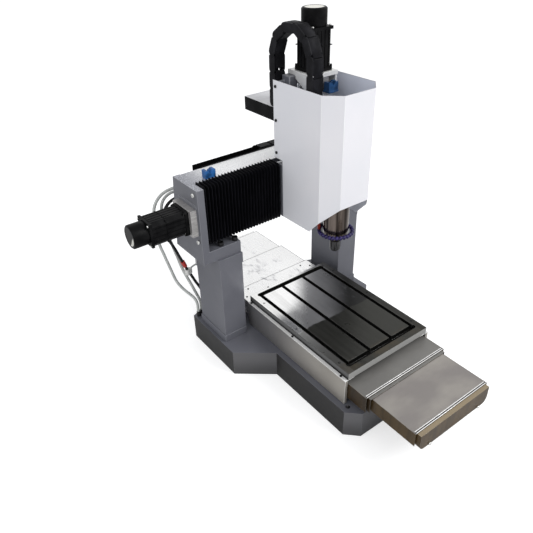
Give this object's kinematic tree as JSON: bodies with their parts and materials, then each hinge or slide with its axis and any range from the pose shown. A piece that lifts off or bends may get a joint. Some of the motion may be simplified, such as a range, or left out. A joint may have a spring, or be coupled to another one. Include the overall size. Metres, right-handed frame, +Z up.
{
  "type": "cnc engraving machine",
  "caption": "Bridge engraving machine: cast base, slotted table under telescopic covers, gantry beam with bellows, and a covered head with a water-cooled spindle.",
  "frame": {"origin": "on the floor, under the middle of the base", "axes": "+X to the right of someone who stands at the front, +Y from front to back along the table's travel, +Z up"},
  "size_m": [0.869, 1.142, 1.086],
  "materials": {
    "casting_paint": "satin hammered paint",
    "guide_steel": "ground",
    "screw_steel": "polished",
    "table_steel": "ground",
    "cover_sheet": "bright rolled sheet",
    "bright_metal": "milled",
    "black_metal": "satin black",
    "motor_black": "black",
    "spindle_steel": "turned and polished",
    "white_sheet": "smooth white paint",
    "bellows_cloth": "matt coated cloth",
    "chain_plastic": "satin",
    "switch_blue": "smooth",
    "ring_hose": "beaded",
    "clear_hose": "translucent"
  },
  "bodies": {
    "frame": {"base_casting": "casting_paint", "left_column": "casting_paint", "right_column": "casting_paint", "gantry_beam": "casting_paint", "beam_bolts": "black_metal", "y_rails": "guide_steel", "x_rails": "guide_steel", "y_bearing_blocks": "black_metal", "x_bearing_housings": "black_metal", "y_motor_plate": "bright_metal", "y_motor": "motor_black", "x_motor_plate": "bright_metal", "x_motor": "motor_black", "front_cover_fixed": "cover_sheet", "front_end_plate": "cover_sheet", "rear_cover_fixed": "cover_sheet", "rear_end_plate": "cover_sheet", "x_chain_tray": "black_metal", "x_chain": "chain_plastic", "beam_limit_switch": "switch_blue", "bellows_left": "bellows_cloth", "bellows_right": "bellows_cloth", "beam_hoses": "clear_hose"},
    "table": {"table_plate": "table_steel", "table_saddle": "casting_paint", "y_guide_blocks": "guide_steel", "y_nut_housing": "guide_steel", "left_skirt": "cover_sheet", "right_skirt": "cover_sheet", "front_cover_outer": "cover_sheet", "rear_cover_outer": "cover_sheet"},
    "front_middle": {"front_cover_middle": "cover_sheet"},
    "rear_middle": {"rear_cover_middle": "cover_sheet"},
    "carriage": {"head_saddle": "casting_paint", "x_guide_blocks": "guide_steel", "x_nut_housing": "guide_steel", "z_rails": "guide_steel", "z_bearing_blocks": "bright_metal", "z_motor_mount": "bright_metal", "z_motor": "motor_black", "head_cover": "white_sheet", "chain_bracket": "black_metal", "head_limit_switch": "switch_blue", "z_chain": "chain_plastic"},
    "slide": {"slide_plate": "table_steel", "z_guide_blocks": "guide_steel", "z_nut_housing": "guide_steel", "spindle_clamp": "bright_metal", "spindle_body": "spindle_steel", "coolant_ring": "ring_hose", "chain_arm": "black_metal"},
    "rotor": {"spindle_shaft": "screw_steel", "collet_nut": "black_metal", "collet": "screw_steel"},
    "x_drive": {"x_screw": "screw_steel", "x_coupling": "guide_steel"},
    "y_drive": {"y_screw": "screw_steel", "y_coupling": "guide_steel"},
    "z_drive": {"z_screw": "screw_steel", "z_coupling": "guide_steel"}
  },
  "joints": [
    {"name": "y_travel", "type": "slide", "parent": "frame", "child": "table", "axis": [0, 1, 0], "range_m": [-0.11, 0.18]},
    {"name": "front_cover_slide", "type": "slide", "parent": "frame", "child": "front_middle", "axis": [0, 1, 0], "range_m": [-0.055, 0.09]},
    {"name": "rear_cover_slide", "type": "slide", "parent": "frame", "child": "rear_middle", "axis": [0, 1, 0], "range_m": [-0.055, 0.09]},
    {"name": "x_travel", "type": "slide", "parent": "frame", "child": "carriage", "axis": [1, 0, 0], "range_m": [-0.21, 0.1], "deforming": ["bellows_left", "bellows_right", "x_chain"]},
    {"name": "z_travel", "type": "slide", "parent": "carriage", "child": "slide", "axis": [0, 0, 1], "range_m": [-0.14, 0], "deforming": ["z_chain"]},
    {"name": "spindle_spin", "type": "hinge", "parent": "slide", "child": "rotor", "pos_m": [0.057, -0.031, 0.4], "axis": [0, 0, 1], "continuous": true},
    {"name": "x_screw_spin", "type": "hinge", "parent": "frame", "child": "x_drive", "pos_m": [0, 0.173, 0.556], "axis": [1, 0, 0], "range_deg": [-15121, 7201]},
    {"name": "y_screw_spin", "type": "hinge", "parent": "frame", "child": "y_drive", "pos_m": [0, 0, 0.12], "axis": [0, 1, 0], "range_deg": [-7921, 12961]},
    {"name": "z_screw_spin", "type": "hinge", "parent": "carriage", "child": "z_drive", "pos_m": [0.057, 0.088, 0.7], "axis": [0, 0, 1], "range_deg": [-10081, 0]}
  ],
  "couplings": [
    {"joint": "front_cover_slide", "follows": "y_travel", "ratio": 0.5},
    {"joint": "rear_cover_slide", "follows": "y_travel", "ratio": 0.5},
    {"joint": "x_screw_spin", "follows": "x_travel", "rad_per_m": 1256.6},
    {"joint": "y_screw_spin", "follows": "y_travel", "rad_per_m": 1256.6},
    {"joint": "z_screw_spin", "follows": "z_travel", "rad_per_m": 1256.6}
  ]
}
